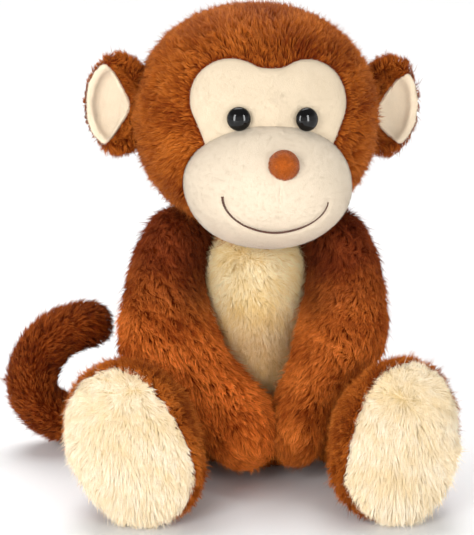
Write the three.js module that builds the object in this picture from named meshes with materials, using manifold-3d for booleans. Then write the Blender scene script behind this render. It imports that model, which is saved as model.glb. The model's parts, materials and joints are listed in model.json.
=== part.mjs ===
import * as THREE from 'three';
import { mergeVertices } from 'three/addons/utils/BufferGeometryUtils.js';
import Module from 'manifold-3d';

// A seated plush monkey. Millimetres, +Z up. The belly faces -Y, and +X is the monkey's own left side.
// The origin is the centre of the flat seat, on the surface that the monkey sits on.
// Each fabric panel is a thin shell, and each filling is a solid inside its panels.
const wasm = await Module();
wasm.setup();

// ---- Driving dimensions ----

const FABRIC = 2.4; // thickness of a sewn plush panel
const GAP = 0.3; // between a panel and what it touches
const CLEARANCE = 2.3; // between a limb's ball end and the hollow it turns in

const HEAD = {
  centre: new THREE.Vector3(0, 0, 226),
  radii: new THREE.Vector3(76, 70, 70),
  fullness: 2.15, // 2 is an ellipsoid, more is boxier
  turn: THREE.MathUtils.degToRad(8.5), // towards +X
  tilt: THREE.MathUtils.degToRad(1.5), // the +X side is a little lower
  backSeam: 8, // the back panel starts this far behind the centre
};
const NECK = { at: new THREE.Vector3(0, 2, 154), radius: 17 };

// Places on the head are measured from its centre, with the face looking along -Y.
const FACE = { lobeX: 22, lobeZ: 20, lobeRadius: 25, dip: 0.78, cheek: 38, chin: -10 };
const MUZZLE = { centre: new THREE.Vector3(0, -57, -35), radii: new THREE.Vector3(53, 45, 40) };
const EYE = { diameter: 15, spacing: 42.5, z: 8, shankRadius: 2.2, shankLength: 11, washerRadius: 8 };
const NOSE = { diameter: 19, x: 2, z: -18 };
const SMILE = { thread: 1.4, halfWidth: 34, z: -36, depth: 23, bend: 2.4 };
const EAR = {
  centre: new THREE.Vector3(90, 6, 7), // for the ear at +X
  radii: new THREE.Vector3(22, 14, 31),
  turn: THREE.MathUtils.degToRad(14), // its opening turns out from straight ahead
  rim: -2, // the plane that opens the ear's bowl, from the bowl's centre
  fabric: 3.4,
};

const SHOULDER = { x: 51, y: -4, z: 145, radius: 21 };
const HIP = { x: 56, y: -18, z: 29, radius: 28 };
const TAIL_ROOT = { x: -20, y: 53, z: 18, radius: 16 };

// Torso sections from the flat seat up: height, half-width, half-depth and the middle's place in Y.
const TORSO_SECTIONS = [
  { z: 0, width: 44, depth: 39, y: 4 },
  { z: 4, width: 52, depth: 46, y: 4 },
  { z: 18, width: 59, depth: 51, y: 4 },
  { z: 48, width: 58, depth: 50, y: 5 },
  { z: 84, width: 49, depth: 46, y: 5 },
  { z: 116, width: 42, depth: 41, y: 4 },
  { z: 138, width: 36, depth: 36, y: 3 },
  { z: 149, width: 24, depth: 24, y: 2 },
];
const FRONT_TAPER = 0.32; // how much narrower the torso is in front, where the arms lie against it
const SEAT_TOP = 9; // height of the seam round the seat panel
const BELLY = { z: 80, halfWidth: 38, halfHeight: 71, squareness: 3 };
const PELLET_BAG = { centre: new THREE.Vector3(0, 6, 14), radii: new THREE.Vector3(27, 25, 10) };
const LABEL = { x: 30, y: 40, z: 35, reach: 26, height: 18, thickness: 1 };

const COLOURS = {
  fur: 0x96501f,
  cream: 0xf6e6c0,
  face: 0xf6dcbc,
  nose: 0xaa4b19,
  thread: 0x5a2d1e,
  plastic: 0x080808,
  stuffing: 0xf4f4f0,
  bag: 0xe8e4d8,
  label: 0xffffff,
};
const SOFT = 0.95;
const GLOSSY = 0.08;

// Each limb runs through stations: a place, and the half-width and half-height of its section there.
// On an arm the width is front to back and the height is side to side. Lean rolls a section.
const v = (x, y, z) => new THREE.Vector3(x, y, z);
const ARM_PATHS = {
  right: [
    { at: v(-SHOULDER.x, SHOULDER.y, SHOULDER.z), width: SHOULDER.radius, height: SHOULDER.radius },
    { at: v(-58, -14, 125), width: 19, height: 23.5 },
    { at: v(-58, -30, 104), width: 18.5, height: 27 },
    { at: v(-53, -45, 84), width: 18.5, height: 29.5 },
    { at: v(-31, -60, 60), width: 19.5, height: 22.5 },
    { at: v(-12, -72, 36), width: 21, height: 21.5 },
  ],
  left: [
    { at: v(SHOULDER.x, SHOULDER.y, SHOULDER.z), width: SHOULDER.radius, height: SHOULDER.radius },
    { at: v(58, -14, 125), width: 19, height: 23.5 },
    { at: v(57, -31, 104), width: 18.5, height: 26 },
    { at: v(50, -48, 83), width: 18.5, height: 25 },
    { at: v(38, -61, 62), width: 18.5, height: 18 },
    { at: v(31.5, -72, 37), width: 20, height: 14.5 },
  ],
};
const LEAN = THREE.MathUtils.degToRad(9); // the toes point a little outwards
const LEG_PATHS = {
  right: [
    { at: v(-HIP.x, HIP.y, HIP.z), width: HIP.radius, height: HIP.radius },
    { at: v(-67, -52, 28), width: 26.5, height: 26 },
    { at: v(-72, -84, 28), width: 27, height: 27, lean: 0.3 * LEAN },
    { at: v(-73, -120, 46), width: 36.5, height: 45, lean: LEAN },
    { at: v(-76, -152, 50), width: 37, height: 49, lean: LEAN },
  ],
  left: [
    { at: v(HIP.x, HIP.y, HIP.z), width: HIP.radius, height: HIP.radius },
    { at: v(70, -52, 28), width: 26, height: 26 },
    { at: v(75, -84, 28), width: 26.5, height: 27, lean: -0.3 * LEAN },
    { at: v(81, -118, 46), width: 32.5, height: 45, lean: -LEAN },
    { at: v(87.5, -148, 50), width: 34, height: 49, lean: -LEAN },
  ],
};
const SOLE = { bulge: 8, back: 7 }; // how far it bulges, and how far it wraps back round the foot
const TAIL_PATH = [
  { at: v(TAIL_ROOT.x, TAIL_ROOT.y, TAIL_ROOT.z), width: TAIL_ROOT.radius, height: TAIL_ROOT.radius },
  { at: v(-54, 70, 16.5), width: 15.5, height: 15.5 },
  { at: v(-95, 49, 16), width: 15, height: 15 },
  { at: v(-128, 17, 17), width: 15, height: 15 },
  { at: v(-147, 11, 30), width: 15, height: 15 },
  { at: v(-151, 11, 48), width: 15, height: 15 },
  { at: v(-143, 12, 67), width: 15, height: 15 },
  { at: v(-128, 13, 80), width: 14.5, height: 14.5 },
  { at: v(-112, 14, 84), width: 14, height: 14 },
];
const TAIL_CURL = 4; // the station where the tail's seam turns up into the curl

// ---- Solids from three.js geometry ----

const ORIGIN = v(0, 0, 0);
const SIDEWAYS = v(1, 0, 0);
const BACKWARDS = v(0, 1, 0);
const UPWARDS = v(0, 0, 1);
const FAR = 400; // past the whole object, for cutting tools
const SIDES = [['right', -1], ['left', 1]];

/** A closed geometry as a solid, whichever way round its triangles were listed. */
function toSolid(geometry) {
  const bare = geometry.clone();
  bare.deleteAttribute('normal');
  bare.deleteAttribute('uv');
  const merged = mergeVertices(bare, 1e-4);
  const triangles = Array.from(merged.index.array);
  const build = (triVerts) => new wasm.Manifold(new wasm.Mesh({
    numProp: 3,
    vertProperties: new Float32Array(merged.attributes.position.array),
    triVerts: new Uint32Array(triVerts),
  }));
  const solid = build(triangles);
  return solid.volume() > 0 ? solid : build(triangles.reverse());
}

function toGeometry(solid) {
  const mesh = solid.getMesh();
  const geometry = new THREE.BufferGeometry();
  geometry.setAttribute('position', new THREE.BufferAttribute(mesh.vertProperties, 3));
  geometry.setIndex(new THREE.BufferAttribute(mesh.triVerts, 1));
  return geometry;
}

/** A closed solid through rings of points, drawn in to a point at each end. */
function throughRings(rings, start, end) {
  const sides = rings[0].length;
  const points = [...rings.flat(), start, end];
  const startIndex = points.length - 2;
  const endIndex = points.length - 1;
  const lastRing = (rings.length - 1) * sides;
  const triangles = [];
  for (let side = 0; side < sides; side += 1) {
    const next = (side + 1) % sides;
    triangles.push(startIndex, next, side);
    triangles.push(endIndex, lastRing + side, lastRing + next);
    for (let low = 0; low < lastRing; low += sides) {
      const high = low + sides;
      triangles.push(low + side, low + next, high + next);
      triangles.push(low + side, high + next, high + side);
    }
  }
  const geometry = new THREE.BufferGeometry().setFromPoints(points);
  geometry.setIndex(triangles);
  return toSolid(geometry);
}

/** A ring of points about a centre, in the plane of two unit vectors. */
function ring(centre, across, up, halfWidth, halfHeight, sides) {
  return Array.from({ length: sides }, (_, side) => {
    const angle = (side / sides) * 2 * Math.PI;
    return centre.clone()
      .addScaledVector(across, halfWidth * Math.cos(angle))
      .addScaledVector(up, halfHeight * Math.sin(angle));
  });
}

/**
 * A closed tube through stations, with rounded ends. The up vector stops its sections from twisting,
 * grow thickens it all over, and endDepth is how far the last end bulges when it isn't a half ball.
 */
function limb(stations, up, { grow = 0, sides = 8, steps = 7, endDepth = null } = {}) {
  const curve = new THREE.CatmullRomCurve3(stations.map((station) => station.at));
  const last = stations.length - 1;
  const between = (name, t) => {
    const low = Math.min(Math.floor(t * last), last - 1);
    const part = THREE.MathUtils.smoothstep(t * last - low, 0, 1);
    const value = (index) => stations[index][name] ?? 0;
    return THREE.MathUtils.lerp(value(low), value(low + 1), part);
  };
  const section = (t, shift, scale) => {
    const along = curve.getTangent(t);
    const across = new THREE.Vector3().crossVectors(along, up).normalize();
    const height = new THREE.Vector3().crossVectors(across, along);
    across.applyAxisAngle(along, between('lean', t));
    height.applyAxisAngle(along, between('lean', t));
    const centre = curve.getPoint(t).addScaledVector(along, shift);
    const halfWidth = scale * (between('width', t) + grow);
    const halfHeight = scale * (between('height', t) + grow);
    return ring(centre, across, height, halfWidth, halfHeight, sides);
  };
  const startDepth = stations[0].width + grow;
  const finishDepth = (endDepth ?? stations[last].width) + grow;
  const capAngles = [30, 60].map(THREE.MathUtils.degToRad);
  const rings = [
    ...capAngles.toReversed().map((angle) => section(0, -startDepth * Math.sin(angle), Math.cos(angle))),
    ...Array.from({ length: steps + 1 }, (_, step) => section(step / steps, 0, 1)),
    ...capAngles.map((angle) => section(1, finishDepth * Math.sin(angle), Math.cos(angle))),
  ];
  const start = curve.getPoint(0).addScaledVector(curve.getTangent(0), -startDepth);
  const end = curve.getPoint(1).addScaledVector(curve.getTangent(1), finishDepth);
  return throughRings(rings, start, end);
}

/** A ball or egg. Fullness above 2 pushes it towards a rounded box. */
function egg(centre, radii, { grow = 0, across = 16, down = 10, fullness = 2 } = {}) {
  const geometry = new THREE.SphereGeometry(1, across, down).rotateX(Math.PI / 2);
  const position = geometry.attributes.position;
  for (let index = 0; index < position.count; index += 1) {
    const way = new THREE.Vector3().fromBufferAttribute(position, index);
    const sum = way.toArray().reduce((total, value) => total + Math.abs(value) ** fullness, 0);
    way.multiplyScalar(sum ** (-1 / fullness));
    way.multiply(radii.clone().addScalar(grow)).add(centre);
    position.setXYZ(index, way.x, way.y, way.z);
  }
  return toSolid(geometry);
}

const sphere = (centre, radius) => egg(centre, v(radius, radius, radius), { across: 12, down: 7 });

/** A box given by its lowest and highest corners. */
function box(low, high) {
  const size = high.map((value, axis) => value - low[axis]);
  const centre = high.map((value, axis) => (value + low[axis]) / 2);
  return toSolid(new THREE.BoxGeometry(...size).translate(...centre));
}

const above = (z) => box([-FAR, -FAR, z], [FAR, FAR, FAR]);
const below = (z) => box([-FAR, -FAR, -FAR], [FAR, FAR, z]);
const behind = (y) => box([-FAR, y, -FAR], [FAR, FAR, FAR]);
const inFrontOf = (y) => box([-FAR, -FAR, -FAR], [FAR, y, FAR]);

/** One side of the middle plane, less half the gap between the two sides. */
const sideOf = (sign) => (sign > 0
  ? box([GAP / 2, -FAR, -FAR], [FAR, FAR, FAR])
  : box([-FAR, -FAR, -FAR], [-GAP / 2, FAR, FAR]));

/** An outline given in X and Z, carried along Y. */
function throughY(outline, fromY, toY) {
  const shape = new THREE.Shape(outline);
  const geometry = new THREE.ExtrudeGeometry(shape, { depth: toY - fromY, bevelEnabled: false, steps: 1 });
  return toSolid(geometry.rotateX(Math.PI / 2).translate(0, toY, 0));
}

/** An outline given in X and Y, carried along the whole of Z. */
function throughZ(outline) {
  const shape = new THREE.Shape(outline);
  const geometry = new THREE.ExtrudeGeometry(shape, { depth: 2 * FAR, bevelEnabled: false, steps: 1 });
  return toSolid(geometry.translate(0, 0, -FAR));
}

/** A turned piece with its axis along +Y, from points of radius and distance. */
function turned(profile) {
  const points = profile.map(([radius, along]) => new THREE.Vector2(radius, along));
  return toSolid(new THREE.LatheGeometry(points, 10));
}

/** Sets a turned piece on a place, with its own axis along the outward direction. */
function placed(solid, at, outward) {
  const quaternion = new THREE.Quaternion().setFromUnitVectors(BACKWARDS, outward);
  const matrix = new THREE.Matrix4().makeRotationFromQuaternion(quaternion).setPosition(at);
  return solid.transform(matrix.elements);
}

const takeAway = (solid, cutters) => cutters.reduce((left, cutter) => left.subtract(cutter), solid);

// ---- The scene graph ----

const monkey = new THREE.Group();
const head = new THREE.Group();
head.position.copy(HEAD.centre);
head.rotation.set(0, HEAD.tilt, HEAD.turn);
monkey.add(head);

function add(parent, name, solid, colour, roughness = SOFT) {
  const material = new THREE.MeshStandardMaterial({ color: COLOURS[colour], roughness, metalness: 0 });
  const mesh = new THREE.Mesh(toGeometry(solid), material);
  mesh.name = name;
  parent.add(mesh);
}

// ---- Arms: an outer and an inner panel sewn along the arm's front and back, round the filling ----

function addArm(name, sign) {
  const arm = (grow) => limb(ARM_PATHS[name], SIDEWAYS, { grow });
  const wall = arm(0).subtract(arm(-FABRIC));
  const seam = ARM_PATHS[name].map(({ at }) => new THREE.Vector2(at.x, at.z));
  const hand = seam.at(-1);
  const pastHand = hand.clone().add(hand.clone().sub(seam.at(-2)).multiplyScalar(4));
  const outer = throughY([
    new THREE.Vector2(seam[0].x, FAR),
    ...seam,
    pastHand,
    new THREE.Vector2(sign * FAR, pastHand.y),
    new THREE.Vector2(sign * FAR, FAR),
  ], -FAR, FAR);
  add(monkey, `arm_${name}_outer_panel`, wall.intersect(outer.translate(sign * GAP, 0, 0)), 'fur');
  add(monkey, `arm_${name}_inner_panel`, wall.subtract(outer), 'fur');
  add(monkey, `arm_${name}_stuffing`, arm(-FABRIC - GAP), 'stuffing');
}

// ---- Legs: an upper and a lower panel, the cream sole, and the filling ----

function addLeg(name) {
  const path = LEG_PATHS[name];
  const leg = (grow) => limb(path, UPWARDS, { grow, sides: 12, steps: 6, endDepth: SOLE.bulge })
    .intersect(above(-grow));
  const wall = leg(0).subtract(leg(-FABRIC));
  const foot = path.at(-1).at;
  const ankle = path.at(-2).at;
  const yaw = Math.atan2(foot.x - ankle.x, ankle.y - foot.y);
  const aheadOf = (back) => toSolid(new THREE.BoxGeometry(FAR, FAR, FAR)
    .translate(0, back - FAR / 2, 0)
    .rotateZ(yaw)
    .translate(foot.x, foot.y, foot.z));
  const seamHeight = path[1].at.z;
  const upperAndLower = wall.subtract(aheadOf(SOLE.back + GAP));
  add(monkey, `foot_${name}_sole`, wall.intersect(aheadOf(SOLE.back)), 'cream');
  add(monkey, `leg_${name}_upper_panel`, upperAndLower.intersect(above(seamHeight + GAP)), 'fur');
  add(monkey, `leg_${name}_lower_panel`, upperAndLower.intersect(below(seamHeight)), 'fur');
  add(monkey, `leg_${name}_stuffing`, leg(-FABRIC - GAP), 'stuffing');
}

// ---- Tail: a rear and a front panel sewn along the tail, round the filling ----

function addTail() {
  const tail = (grow) => limb(TAIL_PATH, BACKWARDS, { grow, steps: 13 });
  const wall = tail(0).subtract(tail(-FABRIC));
  const seam = TAIL_PATH.slice(0, TAIL_CURL + 1).map(({ at }) => new THREE.Vector2(at.x, at.y));
  const rear = throughZ([
    new THREE.Vector2(FAR, seam[0].y),
    ...seam,
    new THREE.Vector2(-FAR, seam.at(-1).y),
    new THREE.Vector2(-FAR, FAR),
    new THREE.Vector2(FAR, FAR),
  ]);
  add(monkey, 'tail_rear_panel', wall.intersect(rear.translate(0, GAP, 0)), 'fur');
  add(monkey, 'tail_front_panel', wall.subtract(rear), 'fur');
  add(monkey, 'tail_stuffing', tail(-FABRIC - GAP), 'stuffing');
}

// ---- Torso: the root of the assembly, with a hollow for each ball end ----

function torso(inset) {
  const floor = inset;
  const top = TORSO_SECTIONS.at(-1).z - inset;
  const rings = TORSO_SECTIONS.map(({ z, width, depth, y }) => {
    const lift = z < PELLET_BAG.centre.z ? inset : 0;
    const middle = v(0, y, Math.min(z + lift, top));
    const points = ring(middle, SIDEWAYS, BACKWARDS, width - inset, depth - inset, 18);
    return points.map((point) => {
      const taper = 1 + FRONT_TAPER * Math.min(0, (point.y - y) / depth);
      return v(point.x * taper, point.y, point.z);
    });
  });
  return throughRings(rings, v(0, TORSO_SECTIONS[0].y, floor), v(0, TORSO_SECTIONS.at(-1).y, top));
}

/** Straight sides up from the seat, under a rounded top. */
function bellyOutline(grow) {
  const power = (value) => Math.sign(value) * Math.abs(value) ** (2 / BELLY.squareness);
  const arch = Array.from({ length: 11 }, (_, index) => {
    const angle = (index / 10) * Math.PI;
    return new THREE.Vector2(
      (BELLY.halfWidth + grow) * power(Math.cos(angle)),
      BELLY.z + (BELLY.halfHeight + grow) * power(Math.sin(angle)),
    );
  });
  const hem = [-1, 1].map((sign) => new THREE.Vector2(sign * (BELLY.halfWidth + grow), -1));
  return [...arch, ...hem];
}

function addTorso() {
  const hollow = ({ x, y, z, radius }, sign = 1) => sphere(v(sign * x, y, z), radius + CLEARANCE);
  const hollows = [
    ...SIDES.map(([, sign]) => hollow(SHOULDER, sign)),
    ...SIDES.map(([, sign]) => hollow(HIP, sign)),
    hollow(TAIL_ROOT),
    sphere(NECK.at, NECK.radius + CLEARANCE),
  ];
  const wall = takeAway(torso(0).subtract(torso(FABRIC)), hollows);
  const walls = wall.intersect(above(SEAT_TOP + GAP));
  const flanks = walls.subtract(throughY(bellyOutline(GAP), -FAR, 0));
  for (const [name, sign] of SIDES) {
    add(monkey, `body_${name}_panel`, flanks.intersect(sideOf(sign)), 'fur');
  }
  add(monkey, 'belly_panel', walls.intersect(throughY(bellyOutline(0), -FAR, 0)), 'cream');
  add(monkey, 'seat_panel', wall.intersect(below(SEAT_TOP)), 'fur');

  // The bag of weighting pellets lies on the seat panel, in a recess under the filling.
  const bag = (grow) => egg(PELLET_BAG.centre, PELLET_BAG.radii, { grow, across: 14, down: 8 });
  const { x: halfWidth, y: halfDepth } = PELLET_BAG.radii.clone().multiplyScalar(0.8);
  const middle = PELLET_BAG.centre;
  const recess = box(
    [-halfWidth, middle.y - halfDepth, -1],
    [halfWidth, middle.y + halfDepth, middle.z],
  );
  const filling = takeAway(torso(FABRIC + GAP), [...hollows, bag(GAP), recess]);
  add(monkey, 'body_stuffing', filling, 'stuffing');
  add(monkey, 'pellet_bag', bag(0), 'bag');
}

/** A blank care label, caught in the seam at the back of the body. */
function addLabel() {
  const low = [LABEL.x - LABEL.thickness / 2, LABEL.y, LABEL.z - LABEL.height / 2];
  const high = [LABEL.x + LABEL.thickness / 2, LABEL.y + LABEL.reach, LABEL.z + LABEL.height / 2];
  add(monkey, 'care_label', box(low, high).subtract(torso(-GAP)), 'label');
}

// ---- Head ----

const headEgg = (grow) => egg(ORIGIN, HEAD.radii, { grow, across: 20, down: 12, fullness: HEAD.fullness });
const muzzleEgg = (grow) => egg(MUZZLE.centre, MUZZLE.radii, { grow });

/** Where a line straight ahead through (x, z) leaves an egg. */
function onSurface(x, z, { centre, radii, fullness = 2 }) {
  const side = Math.abs((x - centre.x) / radii.x) ** fullness;
  const height = Math.abs((z - centre.z) / radii.z) ** fullness;
  return v(x, centre.y - radii.y * (1 - side - height) ** (1 / fullness), z);
}

/** The way that an egg's surface faces at a point. */
function facing(point, { centre, radii }) {
  return point.clone().sub(centre).divide(radii).divide(radii).normalize();
}

const skull = { centre: ORIGIN, radii: HEAD.radii, fullness: HEAD.fullness };

/** Two brow lobes that meet in a dip, over cheeks that run down behind the muzzle. */
function faceOutline(grow) {
  const radius = FACE.lobeRadius + grow;
  const lobe = [-50, -18, 14, 46, 78, 110].map((degrees) => {
    const angle = THREE.MathUtils.degToRad(degrees);
    return new THREE.Vector2(FACE.lobeX + radius * Math.cos(angle), FACE.lobeZ + radius * Math.sin(angle));
  });
  const mirrored = lobe.map(({ x, y }) => new THREE.Vector2(-x, y)).reverse();
  const dip = new THREE.Vector2(0, FACE.lobeZ + radius * FACE.dip);
  const chin = [-1, 1].map((sign) => new THREE.Vector2(sign * FACE.cheek, FACE.chin - grow));
  return [...lobe, dip, ...mirrored, ...chin];
}

/** Safety eyes: a glossy dome, whose shank goes through the face and is held by a washer inside. */
function addEyes() {
  const radius = EYE.diameter / 2;
  const eye = turned([
    [0, -EYE.shankLength],
    [EYE.shankRadius, -EYE.shankLength],
    [EYE.shankRadius, GAP],
    [radius * 0.85, GAP],
    [radius, radius * 0.21],
    [radius * 0.93, radius * 0.43],
    [radius * 0.7, radius * 0.65],
    [radius * 0.38, radius * 0.8],
    [0, radius * 0.85],
  ]);
  const inner = EYE.shankRadius + GAP;
  const washerBack = -2 * FABRIC - 1.8;
  const washerFront = -2 * FABRIC - 0.4;
  const washer = turned([
    [inner, washerBack],
    [EYE.washerRadius, washerBack],
    [EYE.washerRadius, washerFront],
    [inner, washerFront],
    [inner, washerBack],
  ]);
  for (const { name, at, outward } of eyePlaces) {
    add(head, `eye_${name}`, placed(eye, at, outward), 'plastic', GLOSSY);
    add(head, `eye_${name}_washer`, placed(washer, at, outward), 'plastic', SOFT);
  }
}

const eyePlaces = SIDES.map(([name, sign]) => {
  const at = onSurface(sign * EYE.spacing / 2, EYE.z, skull);
  return { name, at, outward: facing(at, skull) };
});

/** The head's furry left, right and back panels, the face patch, and the filling behind them. */
function addSkull() {
  const neckAt = NECK.at.clone().sub(HEAD.centre).applyQuaternion(head.quaternion.clone().invert());
  const neckHollow = sphere(neckAt, NECK.radius + CLEARANCE);
  const deep = -EYE.shankLength - 1;
  const hole = (radius, from, to) => turned([[0, from], [radius, from], [radius, to], [0, to]]);
  const shankHole = hole(EYE.shankRadius + GAP, deep, FABRIC);
  const washerPocket = hole(EYE.washerRadius + GAP, deep, FABRIC);
  const atEyes = (solid) => eyePlaces.map(({ at, outward }) => placed(solid, at, outward));

  const wall = headEgg(0).subtract(headEgg(-FABRIC)).subtract(neckHollow);
  const patch = wall.intersect(throughY(faceOutline(0), -FAR, 0));
  add(head, 'face_patch', takeAway(patch, atEyes(shankHole)), 'face');
  const furry = wall.subtract(throughY(faceOutline(GAP), -FAR, 0));
  add(head, 'head_back_panel', furry.intersect(behind(HEAD.backSeam + GAP)), 'fur');
  const front = furry.intersect(inFrontOf(HEAD.backSeam));
  for (const [name, sign] of SIDES) {
    add(head, `head_${name}_panel`, front.intersect(sideOf(sign)), 'fur');
  }
  const filling = headEgg(-FABRIC - GAP).subtract(neckHollow);
  add(head, 'head_stuffing', takeAway(filling, atEyes(washerPocket)), 'stuffing');
}

/** The muzzle: a short-pile cover round its own filling, sewn onto the lower half of the face. */
function addMuzzle() {
  const face = headEgg(GAP);
  add(head, 'muzzle_cover', muzzleEgg(0).subtract(muzzleEgg(-FABRIC)).subtract(face), 'face');
  add(head, 'muzzle_stuffing', muzzleEgg(-FABRIC - GAP).subtract(face), 'stuffing');
}

/** The nose: a padded dome sewn on above the smile. */
function addNose() {
  const radius = NOSE.diameter / 2;
  const dome = turned([
    [0, -1],
    [radius * 0.8, -1],
    [radius, radius * 0.23],
    [radius * 0.93, radius * 0.53],
    [radius * 0.7, radius * 0.8],
    [radius * 0.38, radius * 0.97],
    [0, radius * 1.03],
  ]);
  const at = onSurface(NOSE.x, NOSE.z, MUZZLE);
  add(head, 'nose', placed(dome, at, facing(at, MUZZLE)).subtract(muzzleEgg(GAP)), 'nose');
}

/** The smile: one thick stitched thread that lies on the muzzle. */
function addSmile() {
  const half = SMILE.thread / 2;
  const stations = Array.from({ length: 13 }, (_, index) => {
    const part = index / 6 - 1;
    const hang = Math.sqrt(1 - 0.999 * Math.abs(part) ** SMILE.bend);
    const at = onSurface(part * SMILE.halfWidth, SMILE.z - SMILE.depth * hang, MUZZLE);
    at.addScaledVector(facing(at, MUZZLE), half);
    return { at, width: half, height: half };
  });
  const thread = limb(stations, BACKWARDS, { sides: 5, steps: 16 });
  add(head, 'mouth_stitching', thread.subtract(muzzleEgg(GAP / 3)), 'thread');
}

/** Ears: a furry back and a short-pile lining, as two bowls one inside the other. */
function addEar(name, sign) {
  const bowl = (from, to) => egg(ORIGIN, EAR.radii, { grow: from, across: 12, down: 8 })
    .subtract(egg(ORIGIN, EAR.radii, { grow: to, across: 12, down: 8 }))
    .intersect(behind(EAR.rim));
  const at = v(sign * EAR.centre.x, EAR.centre.y, EAR.centre.z);
  const place = new THREE.Matrix4().makeRotationZ(sign * EAR.turn).setPosition(at);
  const set = (solid) => solid.transform(place.elements).subtract(headEgg(GAP));
  const inside = -EAR.fabric - GAP;
  add(head, `ear_${name}_back`, set(bowl(0, -EAR.fabric)), 'fur');
  add(head, `ear_${name}_lining`, set(bowl(inside, inside - FABRIC)), 'face');
}

addTorso();
addLabel();
add(monkey, 'neck_plug', sphere(NECK.at, NECK.radius), 'stuffing');
addTail();
for (const [name, sign] of SIDES) {
  addArm(name, sign);
  addLeg(name);
  addEar(name, sign);
}
addSkull();
addMuzzle();
addEyes();
addNose();
addSmile();

export default monkey;
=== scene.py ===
"""A seated plush monkey: its looks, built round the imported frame. Metres, +Z up, and the belly faces -Y.

Each stuffed part has a skin, made from its own panels, and a pile of strands that grows from the skin.
"""

import json
import math

import bmesh
import bpy
import numpy as np
from mathutils import Matrix, Vector
from mathutils.bvhtree import BVHTree
from mathutils.kdtree import KDTree


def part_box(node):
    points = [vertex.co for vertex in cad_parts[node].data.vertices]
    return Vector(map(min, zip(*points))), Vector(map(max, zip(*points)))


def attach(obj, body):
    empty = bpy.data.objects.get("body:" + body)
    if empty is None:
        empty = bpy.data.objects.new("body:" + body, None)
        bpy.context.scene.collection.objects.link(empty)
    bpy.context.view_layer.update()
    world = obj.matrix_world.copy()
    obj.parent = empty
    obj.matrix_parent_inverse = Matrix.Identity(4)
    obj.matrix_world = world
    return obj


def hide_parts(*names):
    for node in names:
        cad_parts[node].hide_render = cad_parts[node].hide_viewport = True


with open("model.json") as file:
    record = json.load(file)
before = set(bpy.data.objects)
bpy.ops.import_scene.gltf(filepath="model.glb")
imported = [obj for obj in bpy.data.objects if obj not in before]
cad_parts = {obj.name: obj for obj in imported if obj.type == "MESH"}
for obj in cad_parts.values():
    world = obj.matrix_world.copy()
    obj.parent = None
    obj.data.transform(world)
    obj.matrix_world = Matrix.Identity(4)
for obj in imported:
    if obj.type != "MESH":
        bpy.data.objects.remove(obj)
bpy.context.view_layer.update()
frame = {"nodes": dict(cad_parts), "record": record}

MM = 0.001
SIDES = (("right", -1), ("left", 1))
SEED = 11
FLOOR_GAP = 0.4 * MM  # no strand comes lower than this
STRAND_SHARE = 1.0
PIECE_STRANDS = 19500  # at most this many strands in one piece of pile

# ---- Colours ----


def rgb(code):
    """A colour written as in a web page, as linear light."""
    parts = np.array([int(code[i:i + 2], 16) / 255 for i in (1, 3, 5)])
    return np.where(parts <= 0.04045, parts / 12.92, ((parts + 0.055) / 1.055) ** 2.4)


def pile_tones(root, dark, light, tip=None):
    """The tones of a pile's roots, of its darkest and lightest strands, and of its frosted tips, if any."""
    return {"root": rgb(root), "dark": rgb(dark), "light": rgb(light), "tip": rgb(tip) if tip else None}


def nap_tones(colour, root=0.95, dark=0.98, light=1.05):
    """The tones of a short nap, as shares of one colour."""
    return {"root": colour * root, "dark": colour * dark, "light": colour * light, "tip": None}


BROWN = pile_tones("#642004", "#823204", "#d87622", "#f0a862")
DEEP_BROWN = pile_tones("#722a0a", "#923a0a", "#fa8c34", "#ffb470")
TAIL_BROWN = pile_tones("#501802", "#6c2204", "#bc5c1a", "#d08a50")
CREAM = pile_tones("#f8dca6", "#f7d9a2", "#fff4e0")
BELLY_CREAM = pile_tones("#f2c87a", "#fcd890", "#fff4d2")
FACE_CREAM = rgb("#d7c5aa")
MUZZLE_CREAM = rgb("#d8c8b1")
EAR_CREAM = rgb("#f3e0c4")
NOSE_BROWN = rgb("#b85c18")
THREAD_BROWN = rgb("#57301f")

# ---- Materials ----


def new_material(name, **sockets):
    """A Principled material with plain values on its own sockets."""
    material = bpy.data.materials.new(name)
    material.use_nodes = True
    shader = material.node_tree.nodes["Principled BSDF"]
    for socket, value in sockets.items():
        shader.inputs[socket.replace("_", " ")].default_value = value
    return material, material.node_tree, shader


def add_node(tree, kind, **inputs):
    """A shader node with plain values on its own sockets."""
    node = tree.nodes.new("ShaderNode" + kind)
    for socket, value in inputs.items():
        node.inputs[socket].default_value = value
    return node


def set_ramp(node, positions, colours):
    for element, position, colour in zip(node.color_ramp.elements, positions, colours):
        element.position = position
        element.color = (*colour, 1)


BUMP_HEIGHT = 0.4 * MM


def mottled(name, colours, scale, bump=0.0, bump_scale=900.0, stretch=(1, 1, 1), **sockets):
    """A material whose colour is soft noise between two tones, with a finer bump."""
    material, tree, shader = new_material(name, **sockets)
    where = add_node(tree, "TexCoord")
    mapping = add_node(tree, "Mapping", Scale=stretch)
    tree.links.new(where.outputs["Object"], mapping.inputs["Vector"])
    noise = add_node(tree, "TexNoise", Scale=scale, Detail=5)
    tree.links.new(mapping.outputs["Vector"], noise.inputs["Vector"])
    ramp = add_node(tree, "ValToRGB")
    set_ramp(ramp, (0.3, 0.7), colours)
    tree.links.new(noise.outputs["Fac"], ramp.inputs["Fac"])
    tree.links.new(ramp.outputs["Color"], shader.inputs["Base Color"])
    if bump:
        fine = add_node(tree, "TexNoise", Scale=bump_scale, Detail=3)
        tree.links.new(mapping.outputs["Vector"], fine.inputs["Vector"])
        relief = add_node(tree, "Bump", Strength=bump, Distance=BUMP_HEIGHT)
        tree.links.new(fine.outputs["Fac"], relief.inputs["Height"])
        tree.links.new(relief.outputs["Normal"], shader.inputs["Normal"])
    return material


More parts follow.
